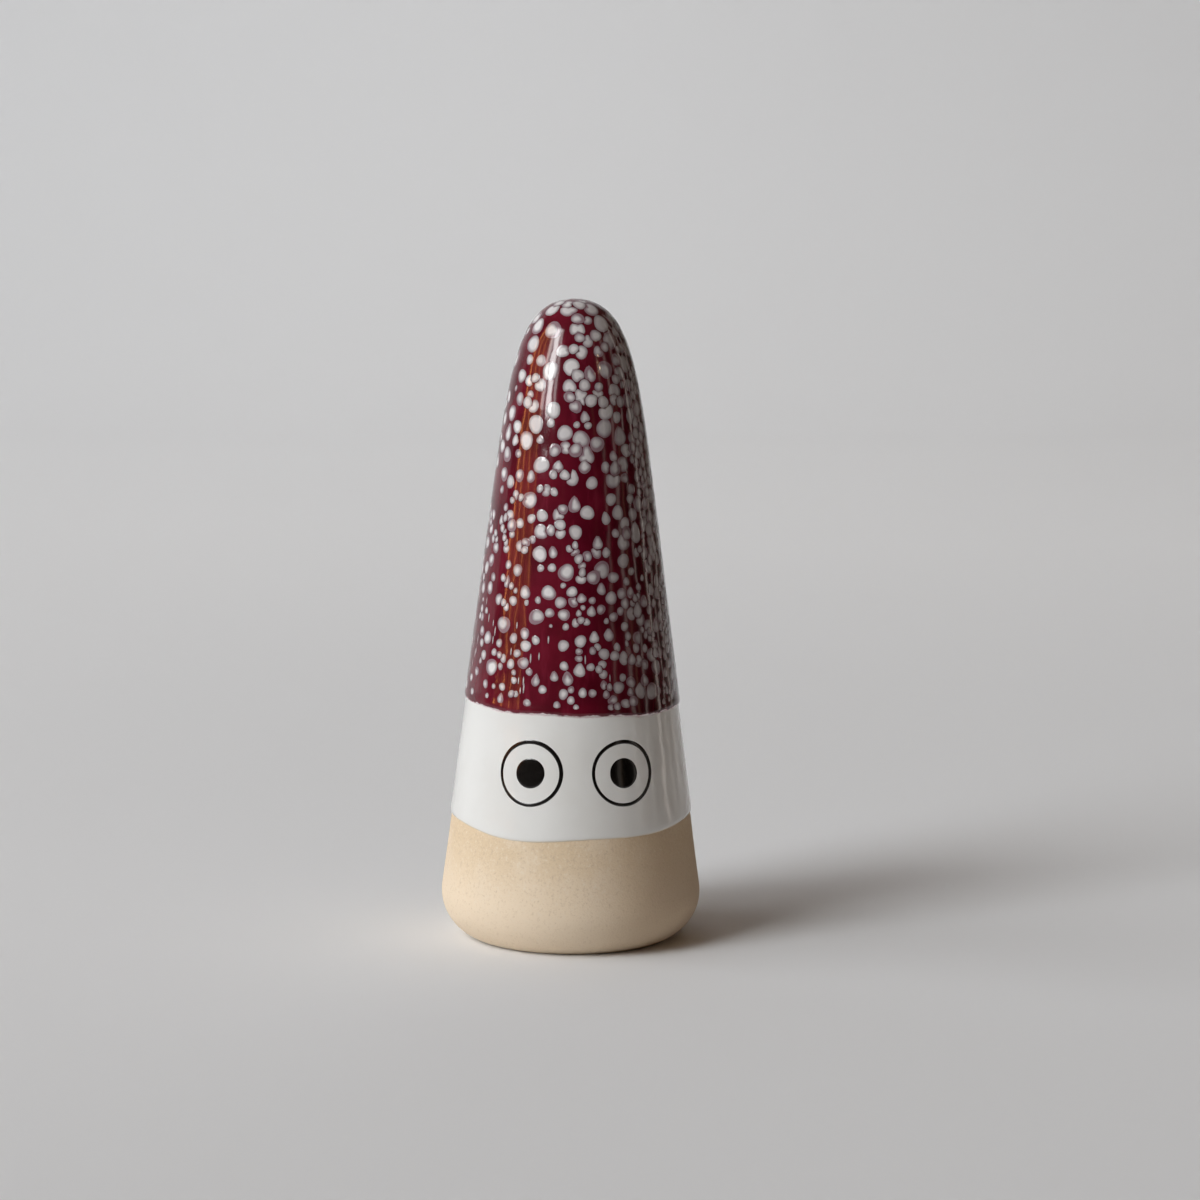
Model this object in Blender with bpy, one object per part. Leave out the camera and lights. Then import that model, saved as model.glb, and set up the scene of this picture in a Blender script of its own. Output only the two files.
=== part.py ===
"""Ceramic ghost figurine: a hollow stoneware shell dipped in white and then red glaze, with eyes fired on.

Metres, +Z up. The origin is the centre of the foot on the surface that the figurine stands on, and the face
looks along -Y. Azimuths run from the face towards +X.
"""

import math
from collections import namedtuple

import bmesh
import bpy

MM = 0.001

# Outside form
HEIGHT = 115.0 * MM  # standing surface to the top of the red glaze
BASE_RADIUS = 23.4 * MM  # widest point of the clay, at the top of the rounded foot
FOOT_ROUND = 8.6 * MM  # radius of the sponged edge round the foot
FOOT_CUT = 0.945  # share of that radius from the widest point down to the flat base
DOME_DROP = 31.0 * MM  # top of the clay down to the end of the straight flank
DOME_RADIUS = 13.5 * MM  # clay radius where the flank ends
SHOULDER_REACH = 22.6 * MM  # how far the flank's direction carries on into the dome
CROWN_REACH = 8.3 * MM  # how far the level crown reaches from the axis

# Cast shell
WALL = 4.5 * MM  # even all round, as slip builds up on a plaster mould
VENT_RADIUS = 4.0 * MM  # hole that drains the slip and lets steam out in the kiln
VENT_EASE = 0.6 * MM  # edge of that hole, wiped back with a sponge
FOOT_RING = 4.5 * MM  # width of the ring that the figurine stands on
FOOT_HOLLOW = 0.8 * MM  # depth of the shallow hollow inside that ring

# Glaze coats
WHITE_COAT = 0.25 * MM
RED_COAT = 0.25 * MM
BOND_GAP = 0.05 * MM  # clearance between one fired layer and the next
WHITE_LINE = 22.2 * MM  # height of the white coat's lower edge
RED_LINE = 43.35 * MM  # height of the red coat's lower edge

# A dipped edge wanders. Each wave is (times round, rise, azimuth of a crest in degrees).
WHITE_WAVES = ((1, 0.49 * MM, 175), (2, 0.61 * MM, 73), (5, 0.28 * MM, 5))
RED_WAVES = ((1, 0.56 * MM, -124), (4, 0.13 * MM, 2), (9, 0.10 * MM, -19))

# Eyes, fired onto the white coat
EYE_HEIGHT = 32.7 * MM
EYE_AZIMUTH_DEG = 23.7  # each side of the face's middle
RING_RADIUS = 5.92 * MM  # to the outside of the line
RING_STROKE = 0.66 * MM
STROKE_SWELL = 0.10 * MM  # how far the hand-drawn line thickens and thins
PUPIL_RADIUS = 2.68 * MM
EYE_FILM = 0.10 * MM  # thickness of the black enamel

# Facets
SEGMENTS = 64
DOME_STEPS = 12
FOOT_STEPS = 8
LIP_STEPS = 4
RING_STEPS = 44
PUPIL_STEPS = 28
PUPIL_LOOPS = 3
POLE_WELD = 0.001 * MM

# Worked out from the sizes above
CLAY_TOP = HEIGHT - WHITE_COAT - RED_COAT - 2 * BOND_GAP
DOME_START = CLAY_TOP - DOME_DROP
FOOT_RISE = FOOT_CUT * FOOT_ROUND  # height of the widest point, where the round edge has its centre
FOOT_CENTRE = BASE_RADIUS - FOOT_ROUND
FOOT_TURN = math.asin(FOOT_CUT)  # how far the round edge turns under before the flat base cuts it off
FOOT_EDGE = FOOT_CENTRE + FOOT_ROUND * math.cos(FOOT_TURN)  # radius of the flat base
FLANK_REACH = math.hypot(DOME_RADIUS - FOOT_CENTRE, DOME_START - FOOT_RISE)
TAPER = math.atan2(FOOT_CENTRE - DOME_RADIUS, DOME_START - FOOT_RISE) + math.asin(FOOT_ROUND / FLANK_REACH)
WHITE_INSIDE = BOND_GAP
WHITE_OUTSIDE = WHITE_INSIDE + WHITE_COAT
RED_INSIDE = WHITE_OUTSIDE + BOND_GAP
RED_OUTSIDE = RED_INSIDE + RED_COAT
EYE_INSIDE = WHITE_OUTSIDE + BOND_GAP
EYE_OUTSIDE = EYE_INSIDE + EYE_FILM

# A point of the clay's turned outline: its radius and height, and the way that the surface faces there.
Station = namedtuple("Station", "radius height out up")


def clear_scene():
    for obj in list(bpy.data.objects):
        bpy.data.objects.remove(obj, do_unlink=True)


def flank(height):
    """The station on the straight flank at this height."""
    radius = DOME_RADIUS + (DOME_START - height) * math.tan(TAPER)
    return Station(radius, height, math.cos(TAPER), math.sin(TAPER))


def foot():
    """Stations round the foot's edge, from the flank down to the floor."""
    turn = TAPER + FOOT_TURN
    stations = []
    for step in range(FOOT_STEPS + 1):
        facing = TAPER - turn * step / FOOT_STEPS
        out, up = math.cos(facing), math.sin(facing)
        stations.append(Station(FOOT_CENTRE + FOOT_ROUND * out, FOOT_RISE + FOOT_ROUND * up, out, up))
    return stations


def dome():
    """Stations over the dome, from the end of the flank to the crown: one Bezier curve."""
    corners = (
        (DOME_RADIUS, DOME_START),
        (DOME_RADIUS - SHOULDER_REACH * math.sin(TAPER), DOME_START + SHOULDER_REACH * math.cos(TAPER)),
        (CROWN_REACH, CLAY_TOP),
        (0.0, CLAY_TOP),
    )
    stations = []
    for step in range(DOME_STEPS + 1):
        t = step / DOME_STEPS
        s = 1 - t
        weights = (s**3, 3 * s * s * t, 3 * s * t * t, t**3)
        slopes = (-3 * s * s, 3 * s * s - 6 * s * t, 6 * s * t - 3 * t * t, 3 * t * t)
        radius, height = (sum(w * c[k] for w, c in zip(weights, corners)) for k in (0, 1))
        run, rise = (sum(w * c[k] for w, c in zip(slopes, corners)) for k in (0, 1))
        length = math.hypot(run, rise)
        stations.append(Station(radius, height, rise / length, -run / length))
    return stations


def raised(stations, distance):
    """The outline through these stations, moved off the clay by a distance."""
    return [(s.radius + s.out * distance, s.height + s.up * distance) for s in stations]


def azimuth_of(x, y):
    """Azimuth of a point, from the face towards +X."""
    return math.atan2(x, -y)


def material(name, colour, roughness):
    made = bpy.data.materials.new(name)
    made.use_nodes = True
    shader = made.node_tree.nodes["Principled BSDF"]
    shader.inputs["Base Color"].default_value = (*colour, 1.0)
    shader.inputs["Roughness"].default_value = roughness
    shader.inputs["Metallic"].default_value = 0.0
    return made


def add_object(name, bm, finish):
    """A named object with the mesh's faces pointing out and its round surfaces shaded smooth."""
    bmesh.ops.recalc_face_normals(bm, faces=bm.faces)
    mesh = bpy.data.meshes.new(name)
    bm.to_mesh(mesh)
    bm.free()
    mesh.shade_smooth()
    mesh.set_sharp_from_angle(angle=math.radians(40))
    mesh.materials.append(finish)
    obj = bpy.data.objects.new(name, mesh)
    bpy.context.scene.collection.objects.link(obj)
    return obj


def turned(outline):
    """A closed mesh, spun round the axis from an outline that starts and ends on it."""
    bm = bmesh.new()
    verts = [bm.verts.new((radius, 0.0, height)) for radius, height in outline]
    edges = [bm.edges.new(pair) for pair in zip(verts, verts[1:])]
    bmesh.ops.spin(
        bm,
        geom=verts + edges,
        cent=(0.0, 0.0, 0.0),
        axis=(0.0, 0.0, 1.0),
        angle=2 * math.pi,
        steps=SEGMENTS,
        use_merge=True,
        use_duplicate=False,
    )
    bmesh.ops.remove_doubles(bm, verts=bm.verts, dist=POLE_WELD)
    return bm


def make_clay_body(finish):
    """The cast shell: its outside, the same outline one wall further in, and a vent through the floor."""
    outside = dome()[::-1] + foot()
    cavity = raised(outside[::-1], -WALL)
    ring_inside = FOOT_EDGE - FOOT_RING
    underside = [
        (ring_inside, 0.0),
        (ring_inside - FOOT_HOLLOW, FOOT_HOLLOW),
        (VENT_RADIUS + VENT_EASE, FOOT_HOLLOW),
        (VENT_RADIUS, FOOT_HOLLOW + VENT_EASE),
        (VENT_RADIUS, cavity[0][1]),
    ]
    add_object("clay_body", turned(raised(outside, 0.0) + underside + cavity), finish)


def lip(line, inside, outside):
    """The rounded lower edge of a coat, from its outer face round to its inner face, on an even line."""
    middle, half = (inside + outside) / 2, (outside - inside) / 2
    points = []
    for step in range(LIP_STEPS + 1):
        turn = math.pi * step / LIP_STEPS
        drop = half * math.sin(turn)
        station = flank(line + half * math.cos(TAPER) - drop * math.cos(TAPER))
        points += raised([station], middle + half * math.cos(turn))
    return points


def wander(bm, waves):
    """Moves a coat's lower edge up and down its flank, as the dip left it."""
    for vert in bm.verts:
        if vert.co.z > DOME_START - BOND_GAP:
            continue
        azimuth = azimuth_of(vert.co.x, vert.co.y)
        rise = sum(size * math.cos(times * (azimuth - math.radians(crest))) for times, size, crest in waves)
        radius = math.hypot(vert.co.x, vert.co.y)
        scale = (radius - rise * math.tan(TAPER)) / radius
        vert.co.x *= scale
        vert.co.y *= scale
        vert.co.z += rise


def make_coat(name, line, waves, inside, outside, finish):
    """A glaze coat: a thin hood over the dome and the flank down to its own dip line."""
    outline = raised(dome()[::-1], outside) + lip(line, inside, outside) + raised(dome(), inside)
    bm = turned(outline)
    wander(bm, waves)
    add_object(name, bm, finish)


def on_eye(azimuth, along, up, lift):
    """A point of the white coat's flank, by its distances from an eye's centre, lifted off the clay."""
    station = flank(EYE_HEIGHT + up * math.cos(TAPER))
    turn = azimuth + along / station.radius
    radius = station.radius + station.out * lift
    return radius * math.sin(turn), -radius * math.cos(turn), station.height + station.up * lift


def eye_loop(bm, azimuth, steps, radius, lift):
    """A closed loop of verts round an eye's centre. The radius is a number or a function of the angle."""
    loop = []
    for step in range(steps):
        turn = 2 * math.pi * step / steps
        reach = radius(turn) if callable(radius) else radius
        loop.append(bm.verts.new(on_eye(azimuth, reach * math.cos(turn), reach * math.sin(turn), lift)))
    return loop


def join_loops(bm, first, second):
    for k in range(len(first)):
        after = (k + 1) % len(first)
        bm.faces.new((first[k], first[after], second[after], second[k]))


def make_eye_ring(name, azimuth, swell_side, finish):
    """The thin black line round an eye, thicker on one side as a drawn line is."""

    def inner(turn):
        return RING_RADIUS - RING_STROKE - STROKE_SWELL * math.cos(turn - swell_side)

    bm = bmesh.new()
    loops = [
        eye_loop(bm, azimuth, RING_STEPS, radius, lift)
        for radius, lift in (
            (RING_RADIUS, EYE_INSIDE),
            (RING_RADIUS, EYE_OUTSIDE),
            (inner, EYE_OUTSIDE),
            (inner, EYE_INSIDE),
        )
    ]
    for first, second in zip(loops, loops[1:] + loops[:1]):
        join_loops(bm, first, second)
    add_object(name, bm, finish)


def make_eye_pupil(name, azimuth, finish):
    """The solid black disc in the middle of an eye."""
    bm = bmesh.new()
    radii = [PUPIL_RADIUS * (k + 1) / PUPIL_LOOPS for k in range(PUPIL_LOOPS)]
    top = [eye_loop(bm, azimuth, PUPIL_STEPS, radius, EYE_OUTSIDE) for radius in radii]
    bottom = [eye_loop(bm, azimuth, PUPIL_STEPS, radius, EYE_INSIDE) for radius in radii]
    loops = top + bottom[::-1]
    for first, second in zip(loops, loops[1:]):
        join_loops(bm, first, second)
    for loop, lift in ((top[0], EYE_OUTSIDE), (bottom[0], EYE_INSIDE)):
        centre = bm.verts.new(on_eye(azimuth, 0.0, 0.0, lift))
        for k in range(PUPIL_STEPS):
            bm.faces.new((centre, loop[k], loop[(k + 1) % PUPIL_STEPS]))
    add_object(name, bm, finish)


def make_eyes(finish):
    for side, sign in (("left", -1), ("right", 1)):
        azimuth = sign * math.radians(EYE_AZIMUTH_DEG)
        make_eye_ring(f"{side}_eye_ring", azimuth, math.radians(35), finish)
        make_eye_pupil(f"{side}_eye_pupil", azimuth, finish)


def main():
    clear_scene()
    clay = material("bare_stoneware", (0.66, 0.50, 0.34), 0.85)
    white = material("white_glaze", (0.80, 0.79, 0.76), 0.15)
    red = material("red_glaze", (0.12, 0.006, 0.022), 0.10)
    black = material("black_enamel", (0.008, 0.007, 0.007), 0.20)
    make_clay_body(clay)
    make_coat("white_glaze_coat", WHITE_LINE, WHITE_WAVES, WHITE_INSIDE, WHITE_OUTSIDE, white)
    make_coat("red_glaze_coat", RED_LINE, RED_WAVES, RED_INSIDE, RED_OUTSIDE, red)
    make_eyes(black)


main()
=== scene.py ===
import math

import bpy
import numpy as np
from mathutils import Euler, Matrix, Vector, noise


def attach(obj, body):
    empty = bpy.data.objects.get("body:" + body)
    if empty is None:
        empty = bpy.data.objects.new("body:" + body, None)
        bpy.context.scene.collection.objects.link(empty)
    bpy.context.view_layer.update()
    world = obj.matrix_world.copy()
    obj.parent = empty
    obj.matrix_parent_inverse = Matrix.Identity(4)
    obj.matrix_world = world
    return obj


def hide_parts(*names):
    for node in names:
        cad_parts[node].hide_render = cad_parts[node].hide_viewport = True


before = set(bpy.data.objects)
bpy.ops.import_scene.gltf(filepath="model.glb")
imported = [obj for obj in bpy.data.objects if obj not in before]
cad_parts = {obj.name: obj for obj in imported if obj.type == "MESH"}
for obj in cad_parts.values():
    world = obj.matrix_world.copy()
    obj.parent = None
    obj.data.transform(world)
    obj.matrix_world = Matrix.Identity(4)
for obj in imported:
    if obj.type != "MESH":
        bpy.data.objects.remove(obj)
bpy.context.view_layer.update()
bpy.context.scene.view_settings.view_transform = "Standard"


# Clay body: buff stoneware, slip-cast hollow in a plaster mould, fettled and sponged smooth round the foot.
# It shows bare and matt below the white glaze, finely sandy, with a few iron specks, and every layer above
# lies on its outline: a round-edged foot, a straight taper and a soft domed crown.
base_radius = 0.0234
foot_round = 0.0086
foot_cut = 0.945
clay_top = 0.1144
dome_drop = 0.0310
dome_radius = 0.0135
shoulder_reach = 0.0226
crown_reach = 0.0083
clay_wall = 0.0045
vent_radius = 0.0040
vent_ease = 0.0006
vent_margin = 0.0020
foot_ring = 0.0045
foot_hollow = 0.0008
ring_round = 0.0007
ring_slope = 0.0010
ring_step = 0.00025
bare_top = 0.0255
swell_size = 0.011
swell_height = 0.00006
swell_fade = 0.004
table_lit_clay = (0.860, 0.710, 0.535, 1)
upper_clay = (0.732, 0.570, 0.383, 1)
cloudy_clay = (0.810, 0.668, 0.502, 1)
dark_sand = (0.660, 0.515, 0.365, 1)
pale_sand = (0.800, 0.680, 0.535, 1)
dark_grain = (0.590, 0.445, 0.295, 1)
pale_grain = (0.815, 0.700, 0.555, 1)
iron_brown = (0.400, 0.275, 0.170, 1)
sponged_table_lit_clay = (0.825, 0.680, 0.512, 1)
right_shade_clay = (0.575, 0.425, 0.275, 1)
around = 288
azimuths = np.arange(around) * 2 * math.pi / around

foot_rise = foot_cut * foot_round
foot_turn = math.asin(foot_cut)
foot_centre = base_radius - foot_round
foot_edge = foot_centre + foot_round * math.cos(foot_turn)
dome_start = clay_top - dome_drop
flank_run = math.hypot(dome_radius - foot_centre, dome_start - foot_rise)
taper = math.atan2(foot_centre - dome_radius, dome_start - foot_rise) + math.asin(foot_round / flank_run)


def clay_outline():
    """The clay's outside in half section, from foot to crown: walk, radius, height, out, up."""
    turn = np.linspace(-foot_turn, taper, 200)
    foot = np.stack([foot_centre + foot_round * np.cos(turn), foot_rise + foot_round * np.sin(turn)])
    share = np.linspace(0, 1, 400)[1:]
    flank = foot[:, -1:] + (np.array([[dome_radius], [dome_start]]) - foot[:, -1:]) * share
    ends = np.array([
        [dome_radius, dome_start],
        [dome_radius - shoulder_reach * math.sin(taper), dome_start + shoulder_reach * math.cos(taper)],
        [crown_reach, clay_top],
        [0, clay_top],
    ])
    weights = [(1 - share) ** 3, 3 * share * (1 - share) ** 2, 3 * share ** 2 * (1 - share), share ** 3]
    dome = sum(weight * end[:, None] for weight, end in zip(weights, ends))
    radius, height = np.concatenate([foot, flank, dome], axis=1)
    run, rise = np.gradient(radius), np.gradient(height)
    length = np.hypot(run, rise)
    walk = np.concatenate([[0], np.cumsum(np.hypot(np.diff(radius), np.diff(height)))])
    return walk, radius, height, rise / length, -run / length


outline = clay_outline()
crown_walk = outline[0][-1]


def walk_at(height):
    """How far up the outline the clay reaches this height."""
    return np.interp(height, outline[2], outline[0])


def on_clay(walk, azimuth, lift):
    """Points walk up the outline, azimuth round from the face to the viewer's right, lift off the clay."""
    radius, height, out, up = (np.interp(walk, outline[0], column) for column in outline[1:])
    radius = radius + out * lift
    height = height + up * lift
    place = np.broadcast_arrays(radius * np.sin(azimuth), -radius * np.cos(azimuth), height)
    return np.stack(place, axis=-1)


def level_ring(radius, height):
    """One ring of points about the axis."""
    place = [radius * np.sin(azimuths), -radius * np.cos(azimuths), np.full(around, height)]
    return np.stack(place, axis=-1)


def link_mesh(name, points, faces):
    """A smooth object of these points and faces, in the scene."""
    mesh = bpy.data.meshes.new(name)
    mesh.from_pydata(points, [], faces)
    mesh.shade_smooth()
    made = bpy.data.objects.new(name, mesh)
    bpy.context.collection.objects.link(made)
    return made


def turned_mesh(name, crown, rings, ceiling):
    """A closed turned body: its crown, its rings down the outside and up the inside, and its ceiling."""
    rings = np.array(rings)
    points = np.concatenate([[crown], rings.reshape(-1, 3), [ceiling]])
    here = np.arange(around)
    after = (here + 1) % around
    faces = np.stack([np.zeros(around, int), 1 + here, 1 + after], axis=1).tolist()
    for row in range(len(rings) - 1):
        upper, lower = 1 + row * around, 1 + (row + 1) * around
        faces += np.stack([upper + here, lower + here, lower + after, upper + after], axis=1).tolist()
    last = 1 + (len(rings) - 1) * around
    faces += np.stack([last + here, np.full(around, len(points) - 1), last + after], axis=1).tolist()
    return link_mesh(name, points.tolist(), faces)


def unevenness(points, size, height):
    """How far each point strays from the true form, in soft swells of about this size."""
    stray = [height * noise.noise(Vector(point) / size) for point in points.reshape(-1, 3)]
    return np.array(stray).reshape(points.shape[:-1])


def add_node(tree, kind, inputs=(), **settings):
    """A shader node with its settings, and each named input set to a value or linked to another output."""
    made = tree.nodes.new(kind)
    for name, value in settings.items():
        setattr(made, name, value)
    for name, value in dict(inputs).items():
        if isinstance(value, bpy.types.NodeSocket):
            tree.links.new(value, made.inputs[name])
        else:
            made.inputs[name].default_value = value
    return made


def reckon(tree, operation, *values):
    """The result of one arithmetic operation on these values."""
    return add_node(tree, "ShaderNodeMath", enumerate(values), operation=operation).outputs[0]


def blend(tree, factor, first, second):
    """First colour where the factor is 0, second where it is 1."""
    return add_node(tree, "ShaderNodeMix", {0: factor, 6: first, 7: second}, data_type="RGBA").outputs[2]


def ease(tree, value, low, high):
    """A mask that goes smoothly from 0 at low to 1 at high."""
    made = add_node(tree, "ShaderNodeMapRange", {"Value": value, "From Min": low, "From Max": high},
                    interpolation_type="SMOOTHSTEP")
    return made.outputs["Result"]


def speckle(tree, place, scale, detail=2.0, roughness=0.5):
    """A cloudy noise about 0.5, its grains 1 / scale metres across."""
    made = add_node(tree, "ShaderNodeTexNoise",
                    {"Vector": place, "Scale": scale, "Detail": detail, "Roughness": roughness})
    return made.outputs["Fac"]


def split_place(tree, place):
    """The X, Y and Z of a place."""
    return add_node(tree, "ShaderNodeSeparateXYZ", {"Vector": place}).outputs


def new_material(name):
    """An empty material: its node tree, its surface shader and the place on the piece in metres."""
    material = bpy.data.materials.new(name)
    material.use_nodes = True
    tree = material.node_tree
    place = add_node(tree, "ShaderNodeTexCoord").outputs["Object"]
    return material, tree, tree.nodes["Principled BSDF"], place


def new_group(name, inputs, outputs):
    """An effect for several materials: its node tree, its input node and its output node."""
    tree = bpy.data.node_groups.new(name, "ShaderNodeTree")
    for label, kind in inputs.items():
        tree.interface.new_socket(name=label, in_out="INPUT", socket_type=kind)
    for label, kind in outputs.items():
        tree.interface.new_socket(name=label, in_out="OUTPUT", socket_type=kind)
    return tree, tree.nodes.new("NodeGroupInput"), tree.nodes.new("NodeGroupOutput")


bare_rows = np.linspace(walk_at(bare_top), 0, 74)
hidden_rows = np.linspace(crown_walk, bare_rows[0], 26)[1:-1]
outside_rows = np.concatenate([hidden_rows, bare_rows])
true_form = np.array([on_clay(walk, azimuths, 0) for walk in outside_rows])
swell = unevenness(true_form, swell_size, swell_height)
swell[: len(hidden_rows)] = 0
swell *= np.clip(outside_rows / swell_fade, 0, 1)[:, None]
outside = [on_clay(walk, azimuths, lift) for walk, lift in zip(outside_rows, swell)]
ring_inner = foot_edge - foot_ring
floor_top = clay_wall * foot_cut
underside = [
    level_ring(foot_edge - ring_round, 0),
    level_ring(ring_inner + 0.4 * ring_slope, 0),
    level_ring(ring_inner - 0.1 * ring_slope, ring_step),
    level_ring(ring_inner - 0.6 * ring_slope, foot_hollow),
    level_ring(vent_radius + vent_ease + vent_margin, foot_hollow),
    level_ring(vent_radius + vent_ease, foot_hollow),
    level_ring(vent_radius + 0.3 * vent_ease, foot_hollow + 0.12 * vent_ease),
    level_ring(vent_radius, foot_hollow + vent_ease),
    level_ring(vent_radius, floor_top),
]
cavity = [on_clay(walk, azimuths, -clay_wall) for walk in np.linspace(0, crown_walk, 34)[:-1]]
clay_piece = turned_mesh("stoneware_body", (0, 0, clay_top), outside + underside + cavity,
                         (0, 0, clay_top - clay_wall))
clay_piece.data.set_sharp_from_angle(angle=math.radians(50))

# The specks are iron in the clay that burns out dark in the kiln; a few also stain the white glaze.
specks, speck_in, speck_out = new_group(
    "iron specks",
    {"Place": "NodeSocketVector", "Spacing": "NodeSocketFloat", "Size": "NodeSocketFloat",
     "Share": "NodeSocketFloat"},
    {"Mask": "NodeSocketFloat"},
)
cells = add_node(specks, "ShaderNodeTexVoronoi", {"Vector": speck_in.outputs["Place"],
                                                  "Scale": speck_in.outputs["Spacing"]})
chosen = reckon(specks, "LESS_THAN", cells.outputs["Color"], speck_in.outputs["Share"])
close = add_node(specks, "ShaderNodeMapRange",
                 {"Value": cells.outputs["Distance"], "From Min": 0.0, "From Max": speck_in.outputs["Size"],
                  "To Min": 1.0, "To Max": 0.0}, interpolation_type="SMOOTHSTEP")
specks.links.new(reckon(specks, "MULTIPLY", chosen, close.outputs["Result"]), speck_out.inputs["Mask"])


def iron_specks(tree, place, spacing, size, share):
    """A mask of the specks at a place: how closely the clay holds them, how large and how many show."""
    made = add_node(tree, "ShaderNodeGroup",
                    {"Place": place, "Spacing": spacing, "Size": size, "Share": share}, node_tree=specks)
    return made.outputs["Mask"]


# The clay is paler towards the foot, where it was sponged and where painted light stands in for light
# thrown up from the bright table. Its right side is painted darker: painted shade.
clay_material, tree, surface, place = new_material("bare stoneware")
on_body = split_place(tree, place)
cloud = speckle(tree, place, 130.0)
sand = speckle(tree, place, 1500.0, 2.0, 0.6)
grain = speckle(tree, place, 3000.0, 3.0, 0.6)
# Painted light: the clay is painted paler towards the foot, as if lit from the bright table below.
colour = blend(tree, ease(tree, on_body["Z"], 0.003, 0.021), table_lit_clay, upper_clay)
colour = blend(tree, ease(tree, cloud, 0.40, 0.75), colour, cloudy_clay)
colour = blend(tree, ease(tree, sand, 0.52, 0.80), colour, dark_sand)
colour = blend(tree, ease(tree, sand, 0.48, 0.20), colour, pale_sand)
colour = blend(tree, ease(tree, grain, 0.54, 0.84), colour, dark_grain)
colour = blend(tree, ease(tree, grain, 0.46, 0.15), colour, pale_grain)
colour = blend(tree, iron_specks(tree, place, 1000.0, 0.14, 0.03), colour, iron_brown)
# Paler still towards the foot, where it was sponged; this also paints in light from the table.
sponged_and_table_lit = reckon(tree, "MULTIPLY", ease(tree, on_body["Z"], 0.019, 0.002), 0.62)
colour = blend(tree, sponged_and_table_lit, colour, sponged_table_lit_clay)
# Painted shade: the clay is painted darker towards the right side, where the light falls off.
right_shade = reckon(tree, "MULTIPLY", ease(tree, on_body["X"], 0.0, 0.014), 0.5)
colour = blend(tree, right_shade, colour, right_shade_clay)
tree.links.new(colour, surface.inputs["Base Color"])
surface.inputs["Roughness"].default_value = 0.86
surface.inputs["Specular IOR Level"].default_value = 0.25
sandy = add_node(tree, "ShaderNodeBump", {"Height": grain, "Strength": 0.40, "Distance": 0.00014})
tree.links.new(sandy.outputs["Normal"], surface.inputs["Normal"])
clay_piece.data.materials.append(clay_material)
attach(clay_piece, "root")
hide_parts("clay_body")


# White glaze: the first dip, head down to the line above the foot, a glossy opaque white over the clay.
# It ends in a soft rounded lip with a slow wander, and runs on up under the burgundy hood to the crown.
white_inside = -0.00002
white_outside = 0.00030
white_waver = 0.00004
waver_size = 0.0085
lip_rows = 7
inner_rows = 22
facets = 64
milk_white = (0.792, 0.783, 0.755, 1)
ivory_white = (0.772, 0.760, 0.728, 1)
thin_white = (0.745, 0.675, 0.575, 1)
tinged_white = (0.700, 0.560, 0.570, 1)
iron_stain = (0.430, 0.360, 0.280, 1)


def dip_line(node, ragged, size, drop):
    """Height of a coat's lower edge at every azimuth: the solid's line, a little lower, with finer runs."""
    corners = np.array([corner.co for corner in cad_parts[node].data.vertices])
    slots = np.rint(np.arctan2(corners[:, 0], -corners[:, 1]) * facets / (2 * math.pi)).astype(int) % facets
    lowest = np.full(facets, np.inf)
    np.minimum.at(lowest, slots, corners[:, 2])
    level = np.fft.irfft(np.fft.rfft(lowest), around) * around / facets
    ring = on_clay(walk_at(level), azimuths, 0)
    return level + unevenness(ring, size, ragged) + unevenness(ring, size / 2.6, ragged / 2) - drop


def coat(name, line, inside_lift, outside_lift, lip, bead, open_rows, hidden_count, waver):
    """A glaze coat from its dip line over the crown, its rounded lip swelling to a bead above the edge."""
    start = walk_at(line)
    near = np.concatenate([lip * (1 - np.cos(np.linspace(0, math.pi / 2, lip_rows))), open_rows])
    far = np.linspace(0, 1, hidden_count + 2)[1:-1]
    walks = [start + step for step in near]
    walks += [start + near[-1] + (crown_walk - start - near[-1]) * share for share in far]
    thick = outside_lift - inside_lift
    rings = []
    for walk in walks[::-1]:
        above = np.clip((walk - start) / lip, 0, 1)
        lift = inside_lift + thick * np.sqrt(np.clip(1 - (1 - above) ** 2, 0, 1))
        lift = lift + bead * np.exp(-(((walk - start) - 1.6 * lip) / (1.3 * lip)) ** 2) * above
        lift = lift + unevenness(on_clay(walk, azimuths, lift), waver_size, waver) * above
        rings.append(on_clay(walk, azimuths, lift))
    inner = [start + (crown_walk - start) * share for share in np.linspace(0, 1, inner_rows)[1:-1]]
    rings += [on_clay(walk, azimuths, inside_lift) for walk in inner]
    made = turned_mesh(name, (0, 0, clay_top + outside_lift), rings, (0, 0, clay_top + inside_lift))
    made.data.set_sharp_from_angle(angle=math.radians(70))
    return made


def line_at(line, azimuth):
    """Height of a dip line at an azimuth."""
    return np.interp(azimuth, azimuths, line, period=2 * math.pi)


def distance_below(made, line):
    """For each point of a mesh, how far it lies under a line drawn round the figure, in metres."""
    points = np.array([corner.co for corner in made.data.vertices])
    return line_at(line, np.arctan2(points[:, 0], -points[:, 1])) - points[:, 2]


def paint_points(made, name, values):
    """Stores one value for each point of the mesh, for its material to read."""
    made.data.attributes.new(name, "FLOAT", "POINT").data.foreach_set("value", np.ravel(values).astype("f"))


def point_value(tree, name):
    """A value stored on the points of the mesh."""
    return add_node(tree, "ShaderNodeAttribute", attribute_name=name).outputs["Fac"]


white_line = dip_line("white_glaze_coat", ragged=0.00005, size=0.0040, drop=0.00024)
red_line = dip_line("red_glaze_coat", ragged=0.00006, size=0.0026, drop=0.00038)
white_rows = np.concatenate([np.arange(0.0013, 0.003, 0.0003), np.linspace(0.0031, 0.0250, 56)])
white_piece = coat("white_glaze", white_line, white_inside, white_outside, lip=0.00110, bead=0.00002,
                   open_rows=white_rows, hidden_count=14, waver=white_waver)
paint_points(white_piece, "below_red", distance_below(white_piece, red_line))
paint_points(white_piece, "above_edge", -distance_below(white_piece, white_line))

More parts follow.
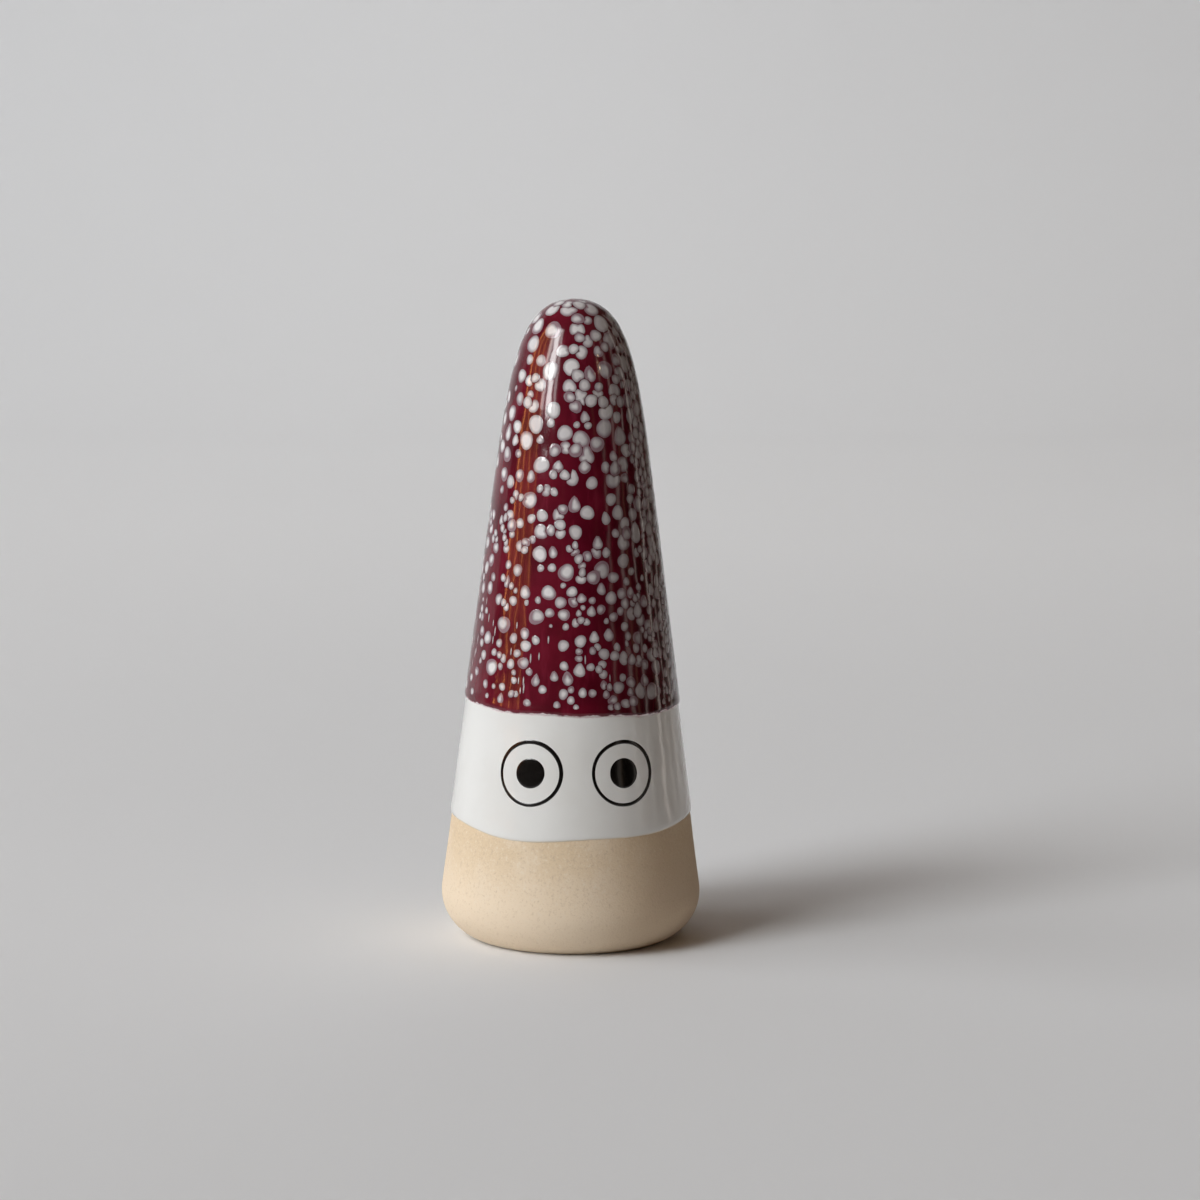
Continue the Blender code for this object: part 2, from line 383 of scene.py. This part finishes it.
# A melted glaze never lies quite flat: it keeps a faint ripple that shows in its reflections.
ripple, ripple_in, ripple_out = new_group(
    "glaze ripple",
    {"Place": "NodeSocketVector", "Pitting": "NodeSocketFloat"},
    {"Height": "NodeSocketFloat"},
)
swells = speckle(ripple, ripple_in.outputs["Place"], 160.0, 1.0)
pits = speckle(ripple, ripple_in.outputs["Place"], 850.0, 1.0)
summed = reckon(ripple, "MULTIPLY_ADD", pits, ripple_in.outputs["Pitting"], swells)
ripple.links.new(summed, ripple_out.inputs["Height"])


def add_ripple(tree, place, surface, pitting):
    """Gives a glazed surface its ripple."""
    wave = add_node(tree, "ShaderNodeGroup", {"Place": place, "Pitting": pitting}, node_tree=ripple)
    bump = add_node(tree, "ShaderNodeBump",
                    {"Height": wave.outputs["Height"], "Strength": 0.25, "Distance": 0.0006})
    tree.links.new(bump.outputs["Normal"], surface.inputs["Normal"])


def add_gloss(tree, surface, cloud, glossiest, dullest):
    """Gives a glazed surface a roughness that drifts with a cloudy noise."""
    made = add_node(tree, "ShaderNodeMapRange", {"Value": cloud, "To Min": glossiest, "To Max": dullest})
    tree.links.new(made.outputs["Result"], surface.inputs["Roughness"])


white_material, tree, surface, place = new_material("white glaze")
cloud = speckle(tree, place, 120.0, 3.0)
colour = blend(tree, ease(tree, cloud, 0.35, 0.68), milk_white, ivory_white)
colour = blend(tree, ease(tree, point_value(tree, "above_edge"), 0.00042, 0.0), colour, thin_white)
reach = reckon(tree, "MULTIPLY_ADD", speckle(tree, place, 900.0), -0.0006, point_value(tree, "below_red"))
colour = blend(tree, ease(tree, reach, -0.0001, -0.0004), colour, tinged_white)
colour = blend(tree, iron_specks(tree, place, 420.0, 0.045, 0.16), colour, iron_stain)
tree.links.new(colour, surface.inputs["Base Color"])
add_gloss(tree, surface, cloud, 0.09, 0.15)
add_ripple(tree, place, surface, 0.06)
white_piece.data.materials.append(white_material)
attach(white_piece, "root")
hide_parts("white_glaze_coat")


# Burgundy hood: the second dip, a runny dark red glaze from above the eyes to the crown, over the white.
# It breaks pink where it thins out at its uneven lower edge and is darker where it has pooled; its right
# side is also painted darker, as painted shade.
red_inside = white_outside - 0.00002
red_outside = 0.00060
red_waver = 0.00003
wine_red = (0.136, 0.0052, 0.0175, 1)
pooled_red = (0.082, 0.0026, 0.0102, 1)
streaked_red = (0.172, 0.0110, 0.0285, 1)
right_shade_red = (0.036, 0.0012, 0.0044, 1)
breaking_pink = (0.480, 0.250, 0.285, 1)
breaking_white = (0.750, 0.690, 0.685, 1)
red_rows = np.concatenate([np.arange(0.0007, 0.003, 0.0003), np.linspace(0.0033, 0.069, 150)])
red_piece = coat("burgundy_hood", red_line, red_inside, red_outside, lip=0.00050, bead=0.00004,
                 open_rows=red_rows, hidden_count=18, waver=red_waver)
paint_points(red_piece, "above_edge", -distance_below(red_piece, red_line))

red_material, tree, surface, place = new_material("burgundy glaze")
run_down = add_node(tree, "ShaderNodeMapping",
                    {"Vector": place, "Scale": (1.0, 1.0, 0.16)}).outputs["Vector"]
streak = speckle(tree, run_down, 520.0, 3.0, 0.6)
pool = speckle(tree, place, 150.0)
colour = blend(tree, ease(tree, pool, 0.30, 0.72), wine_red, pooled_red)
colour = blend(tree, ease(tree, streak, 0.52, 0.80), colour, streaked_red)
# Painted shade: the glaze is painted darker towards the right side, where the light falls off.
red_right_shade = reckon(tree, "MULTIPLY", ease(tree, split_place(tree, place)["X"], -0.003, 0.015), 0.72)
colour = blend(tree, red_right_shade, colour, right_shade_red)
thin = reckon(tree, "MULTIPLY_ADD", speckle(tree, place, 620.0), -0.00100, point_value(tree, "above_edge"))
colour = blend(tree, ease(tree, thin, -0.00014, -0.00026), colour, breaking_pink)
colour = blend(tree, ease(tree, thin, -0.00026, -0.00033), colour, breaking_white)
tree.links.new(colour, surface.inputs["Base Color"])
add_gloss(tree, surface, speckle(tree, place, 90.0), 0.07, 0.13)
add_ripple(tree, place, surface, 0.05)
red_piece.data.materials.append(red_material)
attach(red_piece, "root")
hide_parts("red_glaze_coat")


# Glaze spots: milky glaze that bubbled up through the burgundy in the kiln and froze as low lenses in it.
# Large and crowded on the crown and down one side, looser elsewhere, where some ran into drops and dashes;
# each has a white heart, a fine dark rim and often a mauve margin, and the later lie over those they meet.
dice = np.random.default_rng(23)
hood_foot = walk_at(red_line.mean())
hood_run = crown_walk - hood_foot
run_azimuth = math.radians(85)
drift_size = 0.009
drift_start = Vector((3.1, 0.4, 7.7))
widest_hood = 0.0195
edge_room = 0.00035
crown_room = 0.0004
main_spots = 760
main_tries = 60
fine_tries = 260
dash_tries = 420
smallest_main = 0.00042
largest_main = 0.00150
smallest_joined = 0.0006
smallest_over = 0.00070
largest_over = 0.00120
dash_reach = 0.0007
spot_rise = 0.000026
full_dome = 0.0009
over_rise = 0.000014
over_rim = 0.00004
full_heart = 0.00055
margin_shares = [0.0, 0.05, 0.09, 0.14, 0.20, 0.30]
spot_rings = ((1.0, -0.10, 0.0), (0.86, 0.48, 1.0), (0.50, 0.90, 1.0))
rim_red = (0.045, 0.0018, 0.0085, 1)
margin_mauve = (0.285, 0.185, 0.210, 1)
heart_grey = (0.352, 0.306, 0.316, 1)
heart_white = (0.800, 0.772, 0.762, 1)
spot_shade_red = (0.060, 0.022, 0.026, 1)
spots = []
spot_points = np.zeros((0, 3))
spot_sizes = np.zeros(0)


def on_glaze(walk, azimuth, outside_lift, waver, rise):
    """Points on the uneven outside of a coat, lifted by rise."""
    stray = unevenness(on_clay(walk, azimuth, outside_lift), waver_size, waver)
    return on_clay(walk, azimuth, outside_lift + stray + rise)


def hood_edge(azimuth):
    """How far up the outline the hood's lower edge lies."""
    return float(walk_at(line_at(red_line, azimuth)))


def hood_level(walk):
    """Share of the hood's height at a place."""
    return max((walk - hood_foot) / hood_run, 0.0)


def run_side(azimuth):
    """How far round a place is towards the side where the glaze ran most, from 0 to 1."""
    return 0.5 + 0.5 * math.cos(azimuth - run_azimuth)


def crowding(walk, azimuth):
    """How full of spots a place is, from 0 to 1: fuller to the crown, down one side and in patches."""
    drift = noise.noise(Vector(on_clay(walk, azimuth, 0)) / drift_size + drift_start)
    full = 0.23 + 0.42 * hood_level(walk) ** 1.2 + 0.70 * run_side(azimuth) ** 3.5 + 0.50 * drift
    return float(np.clip(full, 0.05, 1))


def typical_size(walk):
    """Usual radius of a spot at a place."""
    return 0.00084 + 0.00034 * min(hood_level(walk) * 1.2, 1) ** 1.5


def fits(point, radius, room):
    """Whether a spot here keeps this share of its distance from every spot already placed."""
    reach = np.linalg.norm(spot_points - point, axis=1)
    return bool(np.all(reach > room * (spot_sizes + radius)))


def clear_of_edges(walk, azimuth, radius):
    """Whether a spot here stays on the hood, off its lower edge and its very top."""
    return hood_edge(azimuth) + 1.1 * radius + edge_room < walk < crown_walk - crown_room


def keep_spot(walk, azimuth, radius, form, stretch):
    """Adds a spot to the hood."""
    global spot_points, spot_sizes
    spots.append((walk, azimuth, radius, form, stretch))
    spot_points = np.vstack([spot_points, on_clay(walk, azimuth, 0)])
    spot_sizes = np.append(spot_sizes, radius)


def somewhere(lowest, highest):
    """A place on the hood, evenly by area between two shares of its height."""
    while True:
        azimuth = dice.uniform(-math.pi, math.pi)
        edge = hood_edge(azimuth)
        walk = edge + (crown_walk - edge) * dice.uniform(lowest, highest)
        if dice.uniform(0, widest_hood) < np.interp(walk, outline[0], outline[1]):
            return walk, azimuth


for scale in np.sort(np.exp(dice.normal(0.0, 0.26, main_spots)))[::-1]:
    for attempt in range(main_tries):
        walk, azimuth = somewhere(0.0, 0.998)
        radius = float(np.clip(scale * typical_size(walk), smallest_main, largest_main))
        if not clear_of_edges(walk, azimuth, radius):
            continue
        room = 1.03 - 0.16 * run_side(azimuth) ** 3
        if dice.uniform() < crowding(walk, azimuth) and fits(on_clay(walk, azimuth, 0), radius, room):
            keep_spot(walk, azimuth, radius, "round", dice.uniform(1.0, 1.18))
            break

for walk, azimuth, radius, form, stretch in list(spots):
    if radius < smallest_joined or dice.uniform() > 0.50 * crowding(walk, azimuth):
        continue
    for companion in range(dice.integers(1, 4)):
        size = float(np.clip(radius * dice.uniform(0.72, 1.0), smallest_over, largest_over))
        turn = dice.uniform(0, 2 * math.pi)
        apart = dice.uniform(0.62, 0.90) * (radius + size)
        ring_radius = max(float(np.interp(walk, outline[0], outline[1])), 0.0015)
        near_walk = walk + apart * math.sin(turn)
        near_azimuth = azimuth + apart * math.cos(turn) / ring_radius
        if clear_of_edges(near_walk, near_azimuth, size):
            if fits(on_clay(near_walk, near_azimuth, 0), size, 0.61):
                keep_spot(near_walk, near_azimuth, size, "over", dice.uniform(1.0, 1.18))

for attempt in range(fine_tries):
    walk, azimuth = somewhere(0.010, 0.85)
    size = dice.uniform(0.00030, 0.00056)
    if clear_of_edges(walk, azimuth, size) and fits(on_clay(walk, azimuth, 0), size, 1.25):
        if dice.uniform() < 0.5:
            keep_spot(walk, azimuth, size, "round", dice.uniform(1.0, 1.35))

for attempt in range(dash_tries):
    walk, azimuth = somewhere(0.05, 0.30)
    size = dice.uniform(0.00015, 0.00020)
    ends = [on_clay(walk + step, azimuth, 0) for step in (-dash_reach, 0.0, dash_reach)]
    if all(fits(end, size, 1.15) for end in ends):
        keep_spot(walk, azimuth, size, "dash", dice.uniform(4.5, 7.0))


def any_angle():
    """A direction round a spot."""
    return dice.uniform(0, 6.28)


def spot_axes(walk, azimuth):
    """Directions to the right and up the glaze at a place."""
    out = np.interp(walk, outline[0], outline[3])
    rise = np.interp(walk, outline[0], outline[4])
    right = np.array([math.cos(azimuth), math.sin(azimuth), 0])
    return right, np.array([-rise * math.sin(azimuth), rise * math.cos(azimuth), out])


def spot_rim(index, right, upward):
    """Outline of a spot: even angles, from the right and round by the top, and distances from its middle."""
    walk, azimuth, radius, form, stretch = spots[index]
    count = int(np.clip(10 + 8500 * radius, 12, 22))
    angle = np.arange(count) * 2 * math.pi / count
    if form == "dash":
        return angle, radius * (0.8 - 0.3 * np.sin(angle))
    wobble = 0.052 * np.cos(2 * angle + any_angle())
    wobble = wobble + 0.042 * np.cos(3 * angle + any_angle())
    rim = radius * (1 + wobble)
    if dice.uniform() < (0.08 + 0.72 * run_side(azimuth) ** 2) * (1 - hood_level(walk)) ** 0.7:
        tip = dice.uniform(1.3, 2.0)
        lean = dice.uniform(-0.15, 0.15)
        from_tip = np.abs((angle - math.pi / 2 - lean + math.pi) % (2 * math.pi) - math.pi)
        cone = math.acos(1 / tip)
        flanks = 0.92 * radius / np.cos(np.clip(cone - from_tip, 0, 1.2))
        rim = np.where(from_tip < cone, flanks, 0.92 * rim)
    apart = spot_points - spot_points[index]
    reach = np.linalg.norm(apart, axis=1)
    reach[: index + 1] = np.inf
    heading = np.arctan2(stretch * np.sin(angle), np.cos(angle))
    longer = np.hypot(stretch * np.sin(angle), np.cos(angle))
    for other in np.nonzero(reach < 2.2 * radius + spot_sizes)[0]:
        facing = np.cos(heading - math.atan2(apart[other] @ upward, apart[other] @ right))
        inside = spot_sizes[other] ** 2 - reach[other] ** 2 * (1 - facing ** 2)
        meets = (reach[other] * facing - np.sqrt(np.clip(inside, 0, None))) / longer
        rim = np.where((facing > 0) & (inside > 0), np.minimum(rim, meets), rim)
    rim = np.maximum(rim, 0.12 * radius)
    return angle, 0.15 * np.roll(rim, 1) + 0.7 * rim + 0.15 * np.roll(rim, -1)


def on_hood(points, rise):
    """The places on the burgundy nearest to points beside it, lifted by rise."""
    radius = np.hypot(points[:, 0], points[:, 1])
    height = points[:, 2]
    near = np.argmin((radius[:, None] - outline[1]) ** 2 + (height[:, None] - outline[2]) ** 2, axis=1)
    past = (height - outline[2][near]) * outline[3][near]
    past = past - (radius - outline[1][near]) * outline[4][near]
    azimuth = np.arctan2(points[:, 0], -points[:, 1])
    return on_glaze(outline[0][near] + past, azimuth, red_outside, red_waver, rise)


points, faces, inset, margin, white = [], [], [], [], []
for index, (walk, azimuth, radius, form, stretch) in enumerate(spots):
    right, upward = spot_axes(walk, azimuth)
    angle, rim = spot_rim(index, right, upward)
    count = len(angle)
    dome = spot_rise * min(1.0, radius / full_dome) ** 0.5
    layer, covered = (over_rise, over_rim) if form == "over" else (0.0, 0.0)
    finer = max(1.0, full_heart / radius)
    band = dice.choice(margin_shares) * radius
    lopsided = 1 + 0.7 * np.cos(angle - any_angle())
    # Each heart is whiter or greyer at random, and is painted greyer towards the run side on the right, as
    # painted shade.
    heart_and_shade = dice.uniform(0.64, 1.0) * (1 - 0.42 * run_side(azimuth) ** 3)
    first = len(points)
    for share, arch, raised in spot_rings:
        across = share * rim * np.cos(angle)
        up = share * rim * np.sin(angle) * stretch
        flat = spot_points[index] + across[:, None] * right + up[:, None] * upward
        points += on_hood(flat, arch * dome + raised * layer).tolist()
        inset += ((1 - share) * rim * finer - covered).tolist()
        margin += (band * lopsided).tolist()
    points += on_hood(spot_points[index][None], dome + layer).tolist()
    inset.append(radius * finer)
    margin.append(band)
    white += [heart_and_shade] * (len(points) - first)
    here = first + np.arange(count)
    after = first + (np.arange(count) + 1) % count
    for outer, inner in ((0, count), (count, 2 * count)):
        faces += np.stack([here + outer, after + outer, after + inner, here + inner], axis=1).tolist()
    tops = np.full(count, len(points) - 1)
    faces += np.stack([here + 2 * count, after + 2 * count, tops], axis=1).tolist()
    faces.append(here[::-1].tolist())
spot_piece = link_mesh("glaze_spots", points, faces)
spot_piece.data.set_sharp_from_angle(angle=math.radians(75))
paint_points(spot_piece, "inset", inset)
paint_points(spot_piece, "margin", margin)
paint_points(spot_piece, "white", white)

spot_material, tree, surface, place = new_material("milky spots")
drawn_out = add_node(tree, "ShaderNodeMapping",
                     {"Vector": place, "Scale": (1.0, 1.0, 0.35)}).outputs["Vector"]
curd = reckon(tree, "SUBTRACT", speckle(tree, drawn_out, 3000.0, 3.0, 0.6), 0.5)
from_rim = reckon(tree, "MULTIPLY_ADD", curd, 0.00010, point_value(tree, "inset"))
past_margin = reckon(tree, "SUBTRACT", from_rim, point_value(tree, "margin"))
milky = reckon(tree, "MULTIPLY", ease(tree, past_margin, 0.00002, 0.00068), point_value(tree, "white"))
colour = blend(tree, ease(tree, from_rim, 0.00003, 0.00007), rim_red, margin_mauve)
colour = blend(tree, ease(tree, past_margin, 0.00002, 0.00009), colour, heart_grey)
colour = blend(tree, milky, colour, heart_white)
# Painted shade: the spots are painted darker towards the right side, where the light falls off.
spot_right_shade = reckon(tree, "MULTIPLY", ease(tree, split_place(tree, place)["X"], -0.001, 0.009), 0.45)
colour = blend(tree, spot_right_shade, colour, spot_shade_red)
tree.links.new(colour, surface.inputs["Base Color"])
surface.inputs["Roughness"].default_value = 0.10
add_ripple(tree, place, surface, 0.05)
spot_piece.data.materials.append(spot_material)
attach(spot_piece, "root")


# Eyes: black enamel drawn on the white glaze with a fine brush, a ring with a filled dot at its middle.
# The line swells and thins a little with the turn of the hand, and the thin edge of the paint dries brown.
eye_height = 0.0327
eye_azimuth = math.radians(23.7)
eye_ring_radius = 0.00592
ring_stroke = 0.00074
stroke_swell = 0.00010
stroke_turn = math.radians(35)
pupil_radius = 0.00268
hand_stray = 0.00005
paint_rise = 0.000022
ring_points = 120
dot_points = 72
ring_section = ((0.0, -0.5, 1.0), (0.14, 0.55, 0.5), (0.5, 1.0, 0.0), (0.86, 0.55, 0.5), (1.0, -0.5, 1.0))
dot_section = ((1.0, -0.5, 1.0), (0.965, 0.6, 0.4), (0.85, 0.9, 0.0), (0.5, 1.0, 0.0))
enamel_black = (0.0022, 0.0019, 0.0018, 1)
brushed_black = (0.0050, 0.0040, 0.0036, 1)
dried_brown = (0.040, 0.015, 0.008, 1)

enamel, tree, surface, place = new_material("black enamel")
brush = speckle(tree, place, 1500.0, 3.0)
colour = blend(tree, ease(tree, brush, 0.35, 0.75), enamel_black, brushed_black)
colour = blend(tree, ease(tree, point_value(tree, "paint_edge"), 0.45, 1.0), colour, dried_brown)
tree.links.new(colour, surface.inputs["Base Color"])
add_gloss(tree, surface, brush, 0.09, 0.16)


def painted(name, node, azimuth, loops, filled):
    """A film of paint on the white glaze: loops of (across, up, rise, edge), filled or closed as a ring."""
    centre_walk = walk_at(eye_height)
    points, edges, faces = [], [], []
    for across, up, rise, edge in loops:
        walks = centre_walk + up
        turned = azimuth + across / np.interp(walks, outline[0], outline[1])
        points += on_glaze(walks, turned, white_outside, white_waver, rise * paint_rise).tolist()
        edges += [edge] * len(across)
    count = len(loops[0][0])
    here = np.arange(count)
    after = (here + 1) % count
    for row in range(len(loops) - 1 if filled else len(loops)):
        low, high = row * count, (row + 1) % len(loops) * count
        faces += np.stack([low + here, low + after, high + after, high + here], axis=1).tolist()
    if filled:
        points.append(on_glaze(centre_walk, azimuth, white_outside, white_waver, paint_rise).tolist())
        edges.append(0.0)
        last = (len(loops) - 1) * count
        faces += np.stack([last + here, last + after, np.full(count, len(points) - 1)], axis=1).tolist()
        faces.append(here[::-1].tolist())
    made = link_mesh(name, points, faces)
    made.data.set_sharp_from_angle(angle=math.radians(75))
    paint_points(made, "paint_edge", edges)
    made.data.materials.append(enamel)
    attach(made, "root")
    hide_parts(node)


def shaky(turn, size, seed):
    """How a hand strays along a drawn circle, between about -1 and 1."""
    return np.array([noise.noise(Vector((math.cos(t) * size, math.sin(t) * size, seed))) for t in turn])


for side, sign in (("left", -1), ("right", 1)):
    turn = np.arange(ring_points) * 2 * math.pi / ring_points
    stroke = ring_stroke + stroke_swell * np.cos(turn - stroke_turn)
    stroke = stroke + hand_stray * shaky(turn, 1.1, sign * 9.3)
    ring = eye_ring_radius + hand_stray * shaky(turn, 1.4, sign * 3.7)
    loops = []
    for share, rise, edge in ring_section:
        radius = ring - stroke * share
        loops.append((radius * np.cos(turn), radius * np.sin(turn), rise, edge))
    loops.append((loops[2][0], loops[2][1], -0.6, 0.0))
    painted(f"{side}_ring_line", f"{side}_eye_ring", sign * eye_azimuth, loops, False)
    turn = np.arange(dot_points) * 2 * math.pi / dot_points
    dot = pupil_radius + hand_stray * shaky(turn, 1.3, sign * 5.1)
    loops = []
    for share, rise, edge in dot_section:
        loops.append((share * dot * np.cos(turn), share * dot * np.sin(turn), rise, edge))
    painted(f"{side}_pupil_dot", f"{side}_eye_pupil", sign * eye_azimuth, loops, True)


# Table and backdrop: a matt pale grey paper sweep, curving up behind the figure with no edge in sight.
# It is shaded a little from front to back, and goes dark and warm outside the picture, as the room does.
sweep_side = 4.0
sweep_front = -4.0
sweep_back = 1.1
sweep_curve = 0.45
sweep_top = 2.2
near_paper = (0.742, 0.746, 0.750, 1)
table_paper = (0.826, 0.832, 0.838, 1)
far_right_paper = (0.948, 0.953, 0.958, 1)
far_left_paper = (0.822, 0.827, 0.832, 1)
back_right_paper = (0.885, 0.890, 0.895, 1)
back_left_paper = (0.772, 0.777, 0.782, 1)
shaded_paper = (0.400, 0.390, 0.385, 1)
dark_table = (0.200, 0.165, 0.130, 1)
picture_spread = 0.20

turn = np.linspace(0, math.pi / 2, 24)
section = [(sweep_front, 0.0)]
section += [(sweep_back + sweep_curve * math.sin(t), sweep_curve * (1 - math.cos(t))) for t in turn]
section.append((sweep_back + sweep_curve, sweep_top))
points = [(x, y, z) for x in (-sweep_side, sweep_side) for y, z in section]
faces = [(i, len(section) + i, len(section) + i + 1, i + 1) for i in range(len(section) - 1)]
sweep = link_mesh("paper_sweep", points, faces)
paper, tree, surface, place = new_material("grey paper")
spread = split_place(tree, place)
# Painted light and shade: the paper is painted darker to the left, towards the daylight, and paler to the
# right, evening out how the light falls across it.
to_left = ease(tree, spread["X"], 0.10, -0.50)
far = blend(tree, to_left, far_right_paper, far_left_paper)
back = blend(tree, to_left, back_right_paper, back_left_paper)
colour = blend(tree, ease(tree, spread["Y"], -0.30, 0.10), near_paper, table_paper)
colour = blend(tree, ease(tree, spread["Y"], 0.08, 0.75), colour, far)
colour = blend(tree, ease(tree, spread["Y"], 0.95, 1.38), colour, back)
colour = blend(tree, ease(tree, spread["X"], -0.80, -2.00), colour, shaded_paper)
to_right = reckon(tree, "MULTIPLY_ADD", spread["Y"], -picture_spread, spread["X"])
colour = blend(tree, ease(tree, to_right, 0.15, 0.80), colour, dark_table)
tree.links.new(colour, surface.inputs["Base Color"])
surface.inputs["Roughness"].default_value = 0.9
surface.inputs["Specular IOR Level"].default_value = 0.1
sweep.data.materials.append(paper)


# Light: soft daylight from the left, with a wide blind beside it to soften the shadow's edge.
# The window panes, a warm wooden frame, a few bright slats and a far lamp only show as reflections in
# the glazes, and the room about them is dim and warm, with some upright bars of light on the right.
aim_height = 0.06
window_tilt = 33
daylight_blue = (0.970, 1.0, 1.030)
blind_blue = (0.965, 1.0, 1.035)
wood_orange = (1.0, 0.36, 0.09)
slat_cream = (1.0, 0.90, 0.80)
lamp_amber = (1.0, 0.72, 0.40)
room_left = (0.086, 0.071, 0.057, 1)
room_top = (0.108, 0.071, 0.043, 1)
room_gloom = (0.010, 0.006, 0.003, 1)
room_bar = (0.460, 0.290, 0.170, 1)
window_panes = (("left", -60, 0.45, 34.0), ("middle", -49, 0.72, 118.0), ("right", -38, 0.40, 20.0))
wooden_posts = (
    (-94.0, 0.040, 2.6), (-90.5, 0.035, 0.4), (-87.0, 0.050, 0.4), (-83.5, 0.035, 1.6),
    (-80.0, 0.040, 0.3), (-76.5, 0.040, 0.4), (-73.0, 0.035, 1.3), (-69.5, 0.040, 0.3),
    (-66.0, 0.035, 0.3), (-63.5, 0.040, 0.3), (-61.0, 0.030, 0.9),
)
bright_slats = (
    (44, 0.016, 0.012), (63, 0.026, 0.030), (82, 0.012, 0.020),
    (101, 0.020, 0.042), (113, 0.010, 0.014), (127, 0.026, 0.016),
)


def soft_light(name, azimuth, elevation, distance, width, height, power, colour):
    """A rectangular soft light aimed at the figure, at degrees round from its face and up."""
    lamp = bpy.data.lights.new(name, "AREA")
    lamp.shape = "RECTANGLE"
    lamp.size = width
    lamp.size_y = height
    lamp.energy = power
    lamp.color = colour
    made = bpy.data.objects.new(name, lamp)
    bpy.context.collection.objects.link(made)
    turn, tilt = math.radians(azimuth), math.radians(elevation)
    way = Vector((math.sin(turn) * math.cos(tilt), -math.cos(turn) * math.cos(tilt), math.sin(tilt)))
    made.location = way * distance + Vector((0, 0, aim_height))
    made.rotation_euler = (-way).to_track_quat("-Z", "Y").to_euler()
    return made


for name, azimuth, width, power in window_panes:
    pane = soft_light(f"window {name}", azimuth, window_tilt, 4.5, width, 3.2, power, (1.0, 1.0, 1.0))
    pane.visible_diffuse = False
daylight = soft_light("daylight", -55, window_tilt, 4.6, 1.9, 3.2, 119.0, daylight_blue)
daylight.visible_glossy = False
blind = soft_light("blind", -80, window_tilt, 4.6, 4.6, 3.4, 97.0, blind_blue)
blind.visible_glossy = False
for azimuth, width, power in wooden_posts:
    post = soft_light("wooden frame", azimuth, 26.2, 1.6, width, 1.4, power, wood_orange)
    post.visible_diffuse = False
for azimuth, width, power in bright_slats:
    slat = soft_light("bright slat", azimuth, 18, 0.32, width, 0.36, power, slat_cream)
    slat.visible_diffuse = False
    slat.visible_camera = False
bulb = soft_light("far lamp", 46, 25.5, 3.0, 0.07, 0.07, 2.0, lamp_amber)
bulb.visible_diffuse = False

world = bpy.data.worlds.new("room")
bpy.context.scene.world = world
world.use_nodes = True
tree = world.node_tree
toward = add_node(tree, "ShaderNodeTexCoord").outputs["Generated"]
upright = add_node(tree, "ShaderNodeMapping",
                   {"Vector": toward, "Scale": (1.0, 1.0, 0.05)}).outputs["Vector"]
bars = ease(tree, speckle(tree, upright, 10.0, 3.0), 0.59, 0.64)
room_right = blend(tree, bars, room_gloom, room_bar)
toward = split_place(tree, toward)
room = blend(tree, ease(tree, toward["X"], -0.9, 0.3), room_left, room_right)
room = blend(tree, ease(tree, toward["Z"], 0.15, 0.85), room, room_top)
tree.links.new(room, tree.nodes["Background"].inputs["Color"])


# Camera: a long lens a little above the crown, looking slightly down.
# It stands three degrees left of the face and aims just right of the figure's axis, with a slight roll.
camera_turn = math.radians(-3.0)
camera_distance = 0.6
camera_height = 0.1385
camera_pitch = math.radians(90 - 7.36)
camera_swing = math.radians(0.47)
camera_roll = math.radians(0.45)
camera_data = bpy.data.cameras.new("camera")
camera_data.sensor_width = 36.0
camera_data.lens = 100.9
camera = bpy.data.objects.new("camera", camera_data)
bpy.context.collection.objects.link(camera)
camera.location = (camera_distance * math.sin(camera_turn), -camera_distance * math.cos(camera_turn),
                   camera_height)
camera.rotation_euler = Euler((camera_pitch, 0.0, camera_turn - camera_swing))
camera.rotation_euler.rotate_axis("Z", camera_roll)
bpy.context.scene.camera = camera
